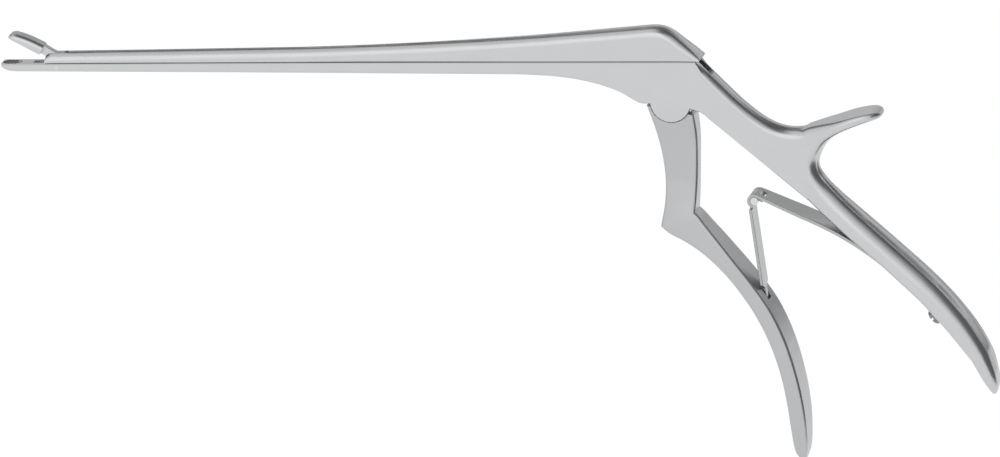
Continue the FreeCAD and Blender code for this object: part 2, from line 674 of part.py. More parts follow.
def slide_rows():
    """Sections of the slide from its front end, over the peak and down the rear slope."""
    top_front = PARTING_HEIGHT + SLIDE_FRONT_HEIGHT
    rise = SLIDE_PEAK_HEIGHT - SLIDE_FRONT_HEIGHT
    front_round = SLIDE_FRONT_ROUND
    rows = []
    for along, drop in ((0.0, 0.8), (0.14, 0.42), (0.45, 0.12), (1.0, 0.0)):
        x = SLIDE_FRONT_X + along * front_round
        rows.append(slide_row((x, top_front - drop * front_round), x))
    climb = ((0.09, 0.02), (0.17, 0.04), (0.42, 0.125), (0.525, 0.2), (0.62, 0.3), (0.722, 0.44))
    climb += ((0.82, 0.605), (0.92, 0.82), (0.971, 0.935))
    for along, share in climb:
        x = SLIDE_FRONT_X + along * (SLIDE_PEAK_X - SLIDE_FRONT_X)
        rows.append(slide_row((x, top_front + rise * share), x))
    peak = (SLIDE_PEAK_X, PARTING_HEIGHT + SLIDE_PEAK_HEIGHT)
    crown = (SLIDE_PEAK_X + 4.4, PARTING_HEIGHT + SLIDE_PEAK_HEIGHT - 0.3)
    slope_top = (SLIDE_SLOPE_TOP[0], PARTING_HEIGHT + SLIDE_SLOPE_TOP[1])
    curve = smooth([peak, crown, slope_top], 4.5, -42)
    floor_span = slope_top[0] - 1.0 - SLIDE_PEAK_X
    for step, top in enumerate(points_along(curve, PEAK_STEPS)):
        rows.append(slide_row(top, SLIDE_PEAK_X + floor_span * step / PEAK_STEPS))
    low = PARTING_HEIGHT + SLIDE_REAR_ROUND
    rows.append(slide_row((SLIDE_REAR_X - 0.1, low), SLIDE_REAR_X - 0.8))
    rows.append(slide_row((SLIDE_REAR_X, low - 0.35), SLIDE_REAR_X - 0.35))
    return rows


def slide_row(top, floor_x):
    half = flare_half_width(top[0])
    return (top, (floor_x, SLIDE_FLOOR), half, half, SLIDE_EDGE_RADIUS, SEAM_BREAK, SLIDE_CROWN)


def make_slide():
    solid = loft(slide_rows())
    room = FINGER_RADIUS + FINGER_ROOM
    pocket = cross_pin(DRIVE_PIN, 2 * room, -FORK_WIDTH / 2, FORK_WIDTH / 2)
    swing = room + FINGER_SWING_ROOM
    skirt_range = (DRIVE_PIN[0] - swing, DRIVE_PIN[0] + swing)
    skirt = block(skirt_range, (PARTING_HEIGHT - 1, DRIVE_PIN[1]), FORK_WIDTH)
    fork_rear = JAW_PIN[0] + SLIDE_FORK_REAR
    fork = block((SLIDE_FRONT_X - 1, fork_rear), (0.0, PARTING_HEIGHT + REACH), JAW_FORK_WIDTH)
    drive_hole = cross_pin(DRIVE_PIN, DRIVE_PIN_DIAMETER, -BODY_WIDTH, BODY_WIDTH)
    link_hole = cross_pin(LINK_PIN, LINK_PIN_DIAMETER, -BODY_WIDTH, BODY_WIDTH)
    solid = solid.cut([pocket, skirt, fork, drive_hole, link_hole])
    lugs = []
    for centre in LUG_CENTRES_X:
        lugs += lug_parts(centre, 0.0, 0.0, False)
    return one_solid(solid.multiFuse(lugs))


def make_drive_pin():
    half = flare_half_width(DRIVE_PIN[0]) - PIN_SETBACK
    return cross_pin(DRIVE_PIN, DRIVE_PIN_DIAMETER, -half, half)


def make_jaw_link_pin():
    """Pin riveted in the slide's fork and dressed off level with its rounded sides."""
    pin = cross_pin(LINK_PIN, LINK_PIN_DIAMETER, -SHAFT_WIDTH, SHAFT_WIDTH)
    return one_solid(pin.common(loft(slide_rows())))


def make_jaw_pivot_pin():
    half = SHAFT_WIDTH / 2 - PIN_SETBACK
    return cross_pin(JAW_PIN, JAW_PIN_DIAMETER, -half, half)


def cam_slot():
    """Curved slot in the jaw's tang that keeps the link pin in step with the slide, jaw closed."""
    radius = LINK_PIN_DIAMETER / 2 + RUNNING_CLEARANCE
    path = []
    for share in (0.0, 0.5, 1.0):
        pin_now = (LINK_PIN[0] - share * SLIDE_TRAVEL, LINK_PIN[1])
        path.append(turned(pin_now, JAW_PIN, (1.0 - share) * JAW_OPEN_ANGLE))
    middle_line = Part.Arc(at(path[0]), at(path[1]), at(path[2]))
    centre = middle_line.toShape().Curve.Center
    centre_point = (centre.x + SADDLE[0], centre.z + SADDLE[1])
    reach = math.hypot(path[0][0] - centre_point[0], path[0][1] - centre_point[1])
    angles = [math.degrees(math.atan2(z - centre_point[1], x - centre_point[0])) for x, z in (path[0], path[2])]
    first, last = angles
    if abs(last - first) > 180:
        last += 360 if last < first else -360
    band = [
        circle_arc(centre_point, reach + radius, first, last),
        line(polar(centre_point, reach + radius, last), polar(centre_point, reach - radius, last)),
        circle_arc(centre_point, reach - radius, last, first),
        line(polar(centre_point, reach - radius, first), polar(centre_point, reach + radius, first)),
    ]
    ends = [cross_pin(point, 2 * radius, -REACH, REACH) for point in (path[0], path[2])]
    return [plate(band, 2 * REACH)] + ends, path


def make_upper_jaw():
    """Cup jaw with its arm and tang, modelled closed and then turned open about its pin."""
    rim = PARTING_HEIGHT + JAW_GAP
    rear = JAW_PIN[0] - CUP_BODY_REAR
    half = SHAFT_WIDTH / 2
    corner = NOSE_CORNER
    profile = (
        (NOSE_X, 0.22, half - corner),
        (NOSE_X + 0.25 * corner, 0.4, half - 0.4 * corner),
        (NOSE_X + corner, 0.62, half),
        (NOSE_X + 2.4, 0.78, half),
        (NOSE_X + 5.0, 0.94, half),
        (rear, 1.0, half),
    )
    rows = []
    for x, share, width in profile:
        top = (x, PARTING_HEIGHT + share * JAW_HEIGHT)
        rows.append((top, (x, rim), width, width, JAW_EDGE_RADIUS, CUP_RIM_BREAK))
    cup = loft(rows)
    cup = cup.cut(cup_pocket(rim - 1, rim + CUP_DEPTH))

    slots, path = cam_slot()
    x, z = JAW_PIN
    arm_low = z + JAW_PIN_DEPTH + JAW_GAP
    arm_high = PARTING_HEIGHT + JAW_HEIGHT - 0.1
    wall = TANG_WALL_RADIUS
    arm = [
        (rear - 1.2, arm_low),
        (rear - 1.2, arm_high),
        (x - 2.0, z + 3.1),
        (path[0][0] - 0.1, path[0][1] + wall),
        (path[0][0] + 0.97 * wall, path[0][1] + 0.1),
        (x + 0.62, arm_low - 0.1),
        (x + 0.99 * EYE_RADIUS, z),
        (x, z - 0.5 * EYE_RADIUS),
        (x - 0.9 * EYE_RADIUS, z),
        (x - 2.6, arm_low),
    ]
    tang = polygon(arm, TANG_WIDTH)
    eye = cross_pin(JAW_PIN, 2 * EYE_RADIUS, -TANG_WIDTH / 2, TANG_WIDTH / 2)
    knuckle = cross_pin(path[0], 2 * wall, -TANG_WIDTH / 2, TANG_WIDTH / 2)
    bore = cross_pin(JAW_PIN, JAW_PIN_DIAMETER + 2 * RUNNING_CLEARANCE, -REACH, REACH)
    jaw = one_solid(cup.multiFuse([tang, eye, knuckle]).cut(slots + [bore]))
    jaw.rotate(at(JAW_PIN), Y_AXIS, JAW_OPEN_ANGLE)
    return jaw


def make_front_handle():
    neck = loft(lever_neck_rows())
    boss_room = cross_pin((0, 0), 2 * (BOSS_RADIUS + BOSS_SEAM), -REACH, REACH)
    neck = neck.cut(boss_room)
    strap = loft(eased(lever_strap_rows()))
    half_neck = TONGUE_HALF_NECK
    disc = cross_pin((0, 0), 2 * TONGUE_RADIUS, -TONGUE_WIDTH / 2, TONGUE_WIDTH / 2)
    web = block((-half_neck, half_neck), (-BOSS_RADIUS - 2.5, 0.0), TONGUE_WIDTH)
    lean = -math.degrees(math.atan2(DRIVE_PIN[0], DRIVE_PIN[1]))
    reach = math.hypot(DRIVE_PIN[0], DRIVE_PIN[1])
    root = FINGER_ROOT_HALF
    upright = [(-root, 2.4), (root, 2.4), (FINGER_RADIUS, reach), (-FINGER_RADIUS, reach)]
    finger = polygon([turned(point, (0, 0), lean) for point in upright], TONGUE_WIDTH)
    tip = cross_pin(DRIVE_PIN, 2 * FINGER_RADIUS, -TONGUE_WIDTH / 2, TONGUE_WIDTH / 2)
    solid = neck.multiFuse([strap, disc, web, finger, tip])

    cuts = [cross_pin((0, 0), PIVOT_SHANK_DIAMETER + 2 * RUNNING_CLEARANCE, -REACH, REACH)]
    slot_half = DRIVE_PIN_DIAMETER / 2 + RUNNING_CLEARANCE
    slot_low = reach - FINGER_SLOT_PLAY
    slot_high = reach + FINGER_SLOT_PLAY
    slot = [(-slot_half, slot_low), (slot_half, slot_low), (slot_half, slot_high), (-slot_half, slot_high)]
    cuts.append(polygon([turned(point, (0, 0), lean) for point in slot], 2 * REACH))
    for height in (slot_low, slot_high):
        cuts.append(cross_pin(turned((0, height), (0, 0), lean), 2 * slot_half, -REACH, REACH))
    cuts.append(foot_pocket())
    return one_solid(solid.cut(cuts))


def strut_point(along, aside):
    """Point beside the strut, by its distance from the roll and its distance to the rear."""
    level = polar(STRUT_FOOT, STRUT_LENGTH - along, 90 + STRUT_LEAN)
    return polar(level, aside, STRUT_LEAN)


def foot_pocket():
    """Pocket in the lever's rear face that the strut's foot stands in."""
    deep = STRUT_LENGTH + FOOT_CLEARANCE
    mouth = STRUT_LENGTH - FOOT_POCKET_LENGTH
    half = SPRING_THICKNESS / 2 + FOOT_CLEARANCE
    corners = [strut_point(mouth, -half), strut_point(deep, -half), strut_point(deep, half)]
    corners.append(strut_point(mouth, half + 1.5))
    return polygon(corners, FOOT_WIDTH + 2 * FOOT_SIDE_CLEARANCE)


def make_leaf_spring():
    spline = leaf_line()
    half = SPRING_THICKNESS / 2
    top = beside(spline, -half)
    low = beside(spline, half)
    first = 90 + LEAF_SLOPE
    outer = ROLL_RADIUS + half
    inner = ROLL_RADIUS - half
    outer_end = polar(ROLL_CENTRE, outer, ROLL_END_ANGLE)
    inner_end = polar(ROLL_CENTRE, inner, ROLL_END_ANGLE)
    edges = [
        top.toShape(),
        circle_arc(ROLL_CENTRE, outer, first, ROLL_END_ANGLE),
        line(outer_end, inner_end),
        circle_arc(ROLL_CENTRE, inner, ROLL_END_ANGLE, first),
        low.toShape(),
        Part.makeLine(low.value(low.FirstParameter), top.value(top.FirstParameter)),
    ]
    wire = Part.Wire(Part.__sortEdges__(edges))
    solid = Part.Face(wire).extrude(FreeCAD.Vector(0, LEAF_WIDTH, 0))
    solid.translate(FreeCAD.Vector(0, -LEAF_WIDTH / 2, 0))
    narrow = ROLL_WIDTH / 2
    wide = LEAF_WIDTH / 2
    front = ROLL_CENTRE[0] - REACH
    rear = ROLL_CENTRE[0] + 2 * REACH
    plan_corners = [(front, -narrow), (ROLL_CENTRE[0], -narrow), (LEAF_FULL_WIDTH_X, -wide), (rear, -wide)]
    plan_corners += [(x, -y) for x, y in reversed(plan_corners)]
    solid = solid.common(plan_prism(plan_corners, -100.0, 0.0))
    slot_half = EYE_WIDTH / 2 + KNUCKLE_GAP
    slot_rear = ROLL_CENTRE[0] + EYE_SLOT_REACH
    slot_corners = [(front, -slot_half), (slot_rear, -slot_half), (slot_rear, slot_half), (front, slot_half)]
    place, outward = leaf_screw_place()
    hole = Part.makeCylinder(SCREW_SHANK_DIAMETER / 2 + 0.1, 4, place - outward * 2, outward)
    return one_solid(solid.cut([plan_prism(slot_corners, -100.0, 0.0), hole]))


def make_spring_hinge_pin():
    half = ROLL_WIDTH / 2
    return cross_pin(ROLL_CENTRE, ROLL_PIN_DIAMETER, -half, half)


def make_spring_screw():
    place, outward = leaf_screw_place()
    head_base = place + outward * (SPRING_THICKNESS / 2 + SEAT_GAP)
    shank_start = place - outward * SCREW_SHANK_LENGTH
    shank = Part.makeCylinder(
        SCREW_SHANK_DIAMETER / 2, (head_base - shank_start).Length, shank_start, outward
    )
    head = Part.makeCylinder(SCREW_HEAD_DIAMETER / 2, SCREW_HEAD_HEIGHT, head_base, outward)
    rim = max(head.Edges, key=lambda edge: edge.CenterOfMass.dot(outward))
    head = head.makeChamfer(SCREW_HEAD_CHAMFER, [rim])
    slot_width, slot_depth = SCREW_DRIVER_SLOT
    reach = SCREW_HEAD_DIAMETER
    slot = Part.makeBox(slot_width, 2 * reach, slot_depth + 1)
    slot.translate(FreeCAD.Vector(-slot_width / 2, -reach, SCREW_HEAD_HEIGHT - slot_depth))
    turn = FreeCAD.Rotation(FreeCAD.Vector(0, 0, 1), outward)
    slot.Placement = FreeCAD.Placement(head_base, turn).multiply(slot.Placement)
    return one_solid(shank.fuse(head).cut(slot))


def foot_side_cut(side):
    """Solid that narrows one side of the strut to its foot."""
    aside = -3.0
    foot_start = STRUT_LENGTH - FOOT_LENGTH
    stations = [
        (foot_start - FOOT_TAPER, STRUT_WIDTH / 2),
        (foot_start, FOOT_WIDTH / 2),
        (STRUT_LENGTH + 1, FOOT_WIDTH / 2),
        (STRUT_LENGTH + 1, STRUT_WIDTH),
        (foot_start - FOOT_TAPER, STRUT_WIDTH),
    ]
    corners = [at(strut_point(along, aside), side * out) for along, out in stations]
    rearward = heading(STRUT_LEAN)
    return Part.Face(Part.makePolygon(corners + corners[:1])).extrude(rearward * (-2 * aside))


def make_spring_strut():
    half = SPRING_THICKNESS / 2
    first = 180 + STRUT_LEAN
    outer = ROLL_RADIUS + half
    inner = ROLL_RADIUS - half
    edges = [
        line(strut_point(STRUT_LENGTH, -half), polar(ROLL_CENTRE, outer, first)),
        circle_arc(ROLL_CENTRE, outer, first, EYE_END_ANGLE),
        line(polar(ROLL_CENTRE, outer, EYE_END_ANGLE), polar(ROLL_CENTRE, inner, EYE_END_ANGLE)),
        circle_arc(ROLL_CENTRE, inner, EYE_END_ANGLE, first),
        line(polar(ROLL_CENTRE, inner, first), strut_point(STRUT_LENGTH, half)),
        line(strut_point(STRUT_LENGTH, half), strut_point(STRUT_LENGTH, -half)),
    ]
    strip = plate(edges, STRUT_WIDTH)
    shoulder = ROLL_CENTRE[1] - STRUT_SHOULDER_DROP
    x = ROLL_CENTRE[0]
    cuts = []
    for side in (-1, 1):
        eye_side = side * EYE_WIDTH / 2
        outside = side * STRUT_WIDTH
        corners = [(x - 5, eye_side), (x + 5, eye_side), (x + 5, outside), (x - 5, outside)]
        cuts.append(plan_prism(corners, shoulder, ROLL_CENTRE[1] + 5))
        cuts.append(foot_side_cut(side))
    return one_solid(strip.cut(cuts))


PIECES = {
    "frame": make_frame,
    "pivot_screw": make_pivot_screw,
    "slide": make_slide,
    "drive_pin": make_drive_pin,
    "jaw_link_pin": make_jaw_link_pin,
    "jaw_pivot_pin": make_jaw_pivot_pin,
    "upper_jaw": make_upper_jaw,
    "front_handle": make_front_handle,
    "leaf_spring": make_leaf_spring,
    "spring_hinge_pin": make_spring_hinge_pin,
    "spring_screw": make_spring_screw,
    "spring_strut": make_spring_strut,
}

os.makedirs("parts", exist_ok=True)
for name, make in PIECES.items():
    shape = make()
    print(name, shape.isValid(), round(shape.Volume, 2))
    shape.exportStep("parts/" + name + ".step")
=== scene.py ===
import json
import logging
import math
from dataclasses import dataclass
from enum import Enum

import bmesh
import bpy
from mathutils import Matrix, Vector

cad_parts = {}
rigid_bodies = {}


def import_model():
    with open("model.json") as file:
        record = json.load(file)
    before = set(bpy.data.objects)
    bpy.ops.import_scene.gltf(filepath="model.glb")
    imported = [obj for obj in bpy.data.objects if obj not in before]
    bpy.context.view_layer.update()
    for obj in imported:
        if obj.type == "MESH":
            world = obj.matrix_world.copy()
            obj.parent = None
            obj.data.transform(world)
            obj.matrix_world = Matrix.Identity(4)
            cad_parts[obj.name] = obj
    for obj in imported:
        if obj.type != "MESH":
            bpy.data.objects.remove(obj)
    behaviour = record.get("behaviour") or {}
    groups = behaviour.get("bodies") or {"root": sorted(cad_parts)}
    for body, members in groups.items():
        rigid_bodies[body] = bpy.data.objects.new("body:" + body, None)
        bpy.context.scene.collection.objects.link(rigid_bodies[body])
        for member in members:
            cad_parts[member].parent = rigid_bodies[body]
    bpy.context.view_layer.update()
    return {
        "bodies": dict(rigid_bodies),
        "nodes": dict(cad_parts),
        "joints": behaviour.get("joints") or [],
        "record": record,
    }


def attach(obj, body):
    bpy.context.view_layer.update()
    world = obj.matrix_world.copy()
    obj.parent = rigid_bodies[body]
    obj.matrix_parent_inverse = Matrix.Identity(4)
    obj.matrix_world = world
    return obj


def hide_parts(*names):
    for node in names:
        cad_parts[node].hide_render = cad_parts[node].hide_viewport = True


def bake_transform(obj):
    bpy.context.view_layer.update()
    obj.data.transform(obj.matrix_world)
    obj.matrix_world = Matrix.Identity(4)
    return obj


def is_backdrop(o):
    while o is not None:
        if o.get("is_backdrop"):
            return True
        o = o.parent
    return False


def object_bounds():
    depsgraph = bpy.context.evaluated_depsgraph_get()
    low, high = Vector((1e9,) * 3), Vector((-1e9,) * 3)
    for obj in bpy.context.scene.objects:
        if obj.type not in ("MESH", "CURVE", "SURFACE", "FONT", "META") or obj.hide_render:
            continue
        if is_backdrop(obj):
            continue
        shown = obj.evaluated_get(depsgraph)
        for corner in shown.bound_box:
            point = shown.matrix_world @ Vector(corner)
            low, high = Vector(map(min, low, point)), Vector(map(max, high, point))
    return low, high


LOG = logging.getLogger("rongeur")
MM = 0.001

Point = tuple[float, float, float]
Colour = tuple[float, float, float, float]
Bands = tuple[tuple[float, float], ...]
Edges = set[bmesh.types.BMEdge]

# Sockets of the mix node in colour mode. Its other modes use the same names, so they go by number.
MIX_SHARE = 0
MIX_FIRST = 6
MIX_SECOND = 7
MIX_RESULT = 2

WHITE: Colour = (1.0, 1.0, 1.0, 1.0)


class Surface(Enum):
    """How a steel surface was worked before it left the maker."""

    BLASTED = "blasted"
    BRUSHED = "brushed"
    TURNED = "turned"


# Scale of the grain along each axis. A value below 1 draws it out that way. Strip lies in the X-Z plane
# and gets long lines. Pins lie along Y and get short ones. Blasted steel looks the same every way.
GRAIN_STRETCH: dict[Surface, Point] = {
    Surface.BRUSHED: (0.06, 1.0, 0.06),
    Surface.TURNED: (1.0, 0.2, 1.0),
}
GRAIN_DETAIL = 3.0
GRAIN_ROUGHNESS = 0.6
RELIEF_STRENGTH = 0.35
PATCH_MM = 9.0
PATCH_DETAIL = 2.0


def linear(code: str) -> Colour:
    """Turn an sRGB hex colour into linear light.

    Args:
        code: Colour such as "#c4c6c8".

    Returns:
        Red, green, blue and alpha in linear light.
    """
    values = [int(code[start : start + 2], 16) / 255 for start in (1, 3, 5)]
    lit = [v / 12.92 if v <= 0.04045 else ((v + 0.055) / 1.055) ** 2.4 for v in values]
    return (lit[0], lit[1], lit[2], 1.0)


def grey(level: float) -> Colour:
    """Neutral colour of a level that is already linear."""
    return (level, level, level, 1.0)


def per_metre(size_mm: float) -> float:
    """Noise scale at which one cell measures size_mm millimetres."""
    return 1 / (size_mm * MM)


def add_node(
    tree: bpy.types.NodeTree,
    kind: str,
    settings: dict[str | int, object],
    links: dict[str | int, bpy.types.NodeSocket],
) -> bpy.types.Node:
    """Add a shader node with its settings and incoming links.

    Args:
        tree: Node tree that gets the node.
        kind: Type name of the node.
        settings: Attribute values, and socket values under "in:NAME" or the socket's number.
        links: Output sockets by the name or number of the input that they feed.

    Returns:
        The new node.
    """
    node = tree.nodes.new(kind)
    for name, value in settings.items():
        if isinstance(name, int):
            node.inputs[name].default_value = value
        elif name.startswith("in:"):
            node.inputs[name[3:]].default_value = value
        else:
            setattr(node, name, value)
    for name, socket in links.items():
        tree.links.new(socket, node.inputs[name])
    return node


@dataclass(frozen=True)
class SteelFinish:
    """Stainless steel in one of the finishes found on the instrument.

    The colour drifts between two shades in soft patches, and the roughness varies with the grain.

    Attributes:
        name: Name of the material.
        surface: How the steel was worked, which sets the direction of its grain.
        dark: Darker shade, as an sRGB hex colour.
        light: Lighter shade.
        roughness: Mean roughness.
        spread: How far the roughness goes up and down from the mean.
        grain_mm: Size of one grain.
        relief_mm: Height of the grain.
    """

    name: str
    surface: Surface
    dark: str
    light: str
    roughness: float
    spread: float
    grain_mm: float
    relief_mm: float

    def material(self) -> bpy.types.Material:
        """Build the finish as a node material.

        Returns:
            The material, with the grain scaled from its size in millimetres.
        """
        made = bpy.data.materials.new(self.name)
        made.use_nodes = True
        tree = made.node_tree
        tree.nodes.clear()
        place = add_node(tree, "ShaderNodeTexCoord", {}, {}).outputs["Object"]
        if self.surface in GRAIN_STRETCH:
            place = add_node(
                tree,
                "ShaderNodeMapping",
                {"in:Scale": GRAIN_STRETCH[self.surface]},
                {"Vector": place},
            ).outputs["Vector"]
        grain = add_node(
            tree,
            "ShaderNodeTexNoise",
            {
                "in:Scale": per_metre(self.grain_mm),
                "in:Detail": GRAIN_DETAIL,
                "in:Roughness": GRAIN_ROUGHNESS,
            },
            {"Vector": place},
        ).outputs["Fac"]
        patch = add_node(
            tree,
            "ShaderNodeTexNoise",
            {"in:Scale": per_metre(PATCH_MM), "in:Detail": PATCH_DETAIL},
            {"Vector": place},
        ).outputs["Fac"]
        shade = add_node(
            tree,
            "ShaderNodeMix",
            {"data_type": "RGBA", MIX_FIRST: linear(self.dark), MIX_SECOND: linear(self.light)},
            {MIX_SHARE: patch},
        ).outputs[MIX_RESULT]
        rough = add_node(
            tree,
            "ShaderNodeMapRange",
            {"in:To Min": self.roughness - self.spread, "in:To Max": self.roughness + self.spread},
            {"Value": grain},
        ).outputs["Result"]
        relief = add_node(
            tree,
            "ShaderNodeBump",
            {"in:Strength": RELIEF_STRENGTH, "in:Distance": self.relief_mm * MM},
            {"Height": grain},
        ).outputs["Normal"]
        steel = add_node(
            tree,
            "ShaderNodeBsdfPrincipled",
            {"in:Metallic": 1.0},
            {"Base Color": shade, "Roughness": rough, "Normal": relief},
        )
        add_node(tree, "ShaderNodeOutputMaterial", {}, {"Surface": steel.outputs["BSDF"]})
        return made


# Real blasting pits and brushing lines are hundredths of a millimetre wide, too fine to show, so every
# grain below is drawn coarser, at about a tenth of a millimetre.

# Glass-bead blasting leaves the forged parts, and the pins in the slide, with an even silver-grey sheen
# and no sharp reflections.
BLASTED_STEEL = SteelFinish(
    name="bead-blasted stainless steel",
    surface=Surface.BLASTED,
    dark="#c0c2c4",
    light="#c6c7c8",
    roughness=0.30,
    spread=0.04,
    grain_mm=0.12,
    relief_mm=0.004,
)
# The lever is blasted with a coarser bead, and its colour is painted a shade darker than the body's:
# painted shade, standing in for the dimmer light on the lever's face.
LEVER_PAINTED_SHADE_STEEL = SteelFinish(
    name="coarse bead-blasted stainless steel with painted shade",
    surface=Surface.BLASTED,
    dark="#b1b3b5",
    light="#b8b9bb",
    roughness=0.31,
    spread=0.04,
    grain_mm=0.15,
    relief_mm=0.005,
)
# Spring strip keeps the fine lengthwise lines of brushing and is greyer than the forged parts.
SPRING_STEEL = SteelFinish(
    name="brushed spring steel strip",
    surface=Surface.BRUSHED,
    dark="#a8aaaa",
    light="#aeb0b0",
    roughness=0.27,
    spread=0.03,
    grain_mm=0.20,
    relief_mm=0.0005,
)
# The lever's screw, the jaw's pin and the springs' pin are turned, so that they shine a little more.
TURNED_STEEL = SteelFinish(
    name="turned stainless steel",
    surface=Surface.TURNED,
    dark="#cacbcd",
    light="#d3d4d5",
    roughness=0.24,
    spread=0.04,
    grain_mm=0.08,
    relief_mm=0.003,
)
# The spring's screw is turned, and its colour is painted dark grey: painted shade, standing in for the
# shadow that its head sits in on the handle.
SCREW_PAINTED_SHADE_STEEL = SteelFinish(
    name="screw steel with painted shade",
    surface=Surface.TURNED,
    dark="#7c7e7f",
    light="#888a8b",
    roughness=0.30,
    spread=0.04,
    grain_mm=0.08,
    relief_mm=0.003,
)


@dataclass
class NodeDressing:
    """Finish for a group of CAD nodes that are shown as they are."""

    finish: SteelFinish
    nodes: tuple[str, ...]

    def dress(self, frame: dict) -> None:
        """Put the finish on the group's nodes.

        Args:
            frame: The loaded frame.
        """
        made = self.finish.material()
        for name in self.nodes:
            mesh = frame["nodes"][name].data
            mesh.materials.clear()
            mesh.materials.append(made)
            LOG.info("dressed %s in %s", name, self.finish.name)


@dataclass
class EvenCurves:
    """Bends the straight edges of facets out to the curves that their ends lie on.

    A hard edge follows the line of hard edges that it belongs to, and any other edge follows the
    surface. A long edge counts as truly straight, and so does a hard one much longer than the next.

    Attributes:
        hard_deg: Turn between two faces from which the edge between them is hard.
        corner_deg: Turn above which two hard edges meet in a real corner.
        straight_mm: Length above which an edge counts as truly straight.
        step_mm: Length from which an edge is split, with one cut for each such length in it.
        most_cuts: Largest number of cuts in one edge.
        least_bulge_mm: An edge that would move less than this stays as it is.
        most_bulge_mm: Farthest that a point may move.
        uneven: How many times longer than the next a hard edge is when it counts as straight.
        least_length_m: Length below which an edge gives no direction.
        least_normal: The same for the sum of a fan's normals, which is in square metres.
    """

    hard_deg: float = 32.0
    corner_deg: float = 30.0
    straight_mm: float = 18.0
    step_mm: float = 1.5
    most_cuts: int = 5
    least_bulge_mm: float = 0.01
    most_bulge_mm: float = 0.45
    uneven: float = 3.0
    least_length_m: float = 1e-9
    least_normal: float = 1e-12

    def hard_edges(self, shape: bmesh.types.BMesh) -> Edges:
        """Edges where the surface ends or turns sharply."""
        limit = math.radians(self.hard_deg)
        return {
            edge for edge in shape.edges if len(edge.link_faces) != 2 or edge.calc_face_angle(0.0) >= limit
        }

    def chain_way(self, vert: bmesh.types.BMVert, edge: bmesh.types.BMEdge, hard: Edges) -> Vector:
        """Direction of a hard edge's curve at one of its ends.

        Args:
            vert: The end.
            edge: The hard edge.
            hard: All hard edges.

        Returns:
            Direction from the end along the edge.
        """
        out = edge.other_vert(vert).co - vert.co
        chain = [other for other in vert.link_edges if other in hard and other is not edge]
        if len(chain) != 1:
            return out
        back = vert.co - chain[0].other_vert(vert).co
        if back.length < self.least_length_m or back.angle(out) > math.radians(self.corner_deg):
            return out
        straight = self.straight_mm * MM
        if out.length > back.length * self.uneven or out.length > straight:
            return out
        if back.length > out.length * self.uneven or back.length > straight:
            return back
        return back.normalized() * out.length + out.normalized() * back.length

    def fan_way(self, vert: bmesh.types.BMVert, edge: bmesh.types.BMEdge, hard: Edges) -> Vector:
        """Direction of the surface along a soft edge at one of its ends.

        Args:
            vert: The end.
            edge: The soft edge.
            hard: All hard edges.

        Returns:
            Direction from the end along the edge, in the surface's tangent plane.
        """
        fan = set(edge.link_faces)
        waiting = list(fan)
        while waiting:
            face = waiting.pop()
            for side in face.edges:
                if vert in side.verts and side not in hard:
                    fresh = [other for other in side.link_faces if other not in fan]
                    fan.update(fresh)
                    waiting.extend(fresh)
        normal = Vector()
        for face in fan:
            normal += face.normal * face.calc_area()
        out = edge.other_vert(vert).co - vert.co
        if normal.length < self.least_normal:
            return out
        normal.normalize()
        return out - normal * out.dot(normal)

    def places(self, edge: bmesh.types.BMEdge, hard: Edges) -> list[Vector]:
        """Points of the curve over an edge, between its ends.

        Args:
            edge: The edge.
            hard: All hard edges.

        Returns:
            The points from the first end to the second, or none for a straight edge.
        """
        first, last = edge.verts
        way = last.co - first.co
        cuts = min(int(way.length / (self.step_mm * MM)), self.most_cuts)
        if cuts < 1 or way.length > self.straight_mm * MM:
            return []
        turn = self.chain_way if edge in hard else self.fan_way
        leave = turn(first, edge, hard)
        arrive = -turn(last, edge, hard)
        if leave.length < self.least_length_m or arrive.length < self.least_length_m:
            return []
        leave_off = leave.normalized() * way.length - way
        arrive_off = arrive.normalized() * way.length - way
        shares = [(cut + 1) / (cuts + 1) for cut in range(cuts)]
        bulges = [leave_off * (t * (1 - t) ** 2) - arrive_off * (t * t * (1 - t)) for t in shares]
        largest = max(bulge.length for bulge in bulges)
        if largest < self.least_bulge_mm * MM:
            return []
        ease = min(1.0, self.most_bulge_mm * MM / largest)
        return [first.co + way * t + bulge * ease for t, bulge in zip(shares, bulges)]

    def bend(self, shape: bmesh.types.BMesh) -> None:
        """Split and bend the edges of a mesh.

        Args:
            shape: The mesh.
        """
        shape.normal_update()
        hard = self.hard_edges(shape)
        curves = [(edge, self.places(edge, hard)) for edge in shape.edges]
        for edge, points in curves:
            near = edge.verts[0]
            for point in points:
                near = bmesh.utils.edge_split(edge, near, 0.5)[1]
                near.co = point
        bmesh.ops.triangulate(shape, faces=shape.faces[:], quad_method="BEAUTY", ngon_method="BEAUTY")
        shape.normal_update()


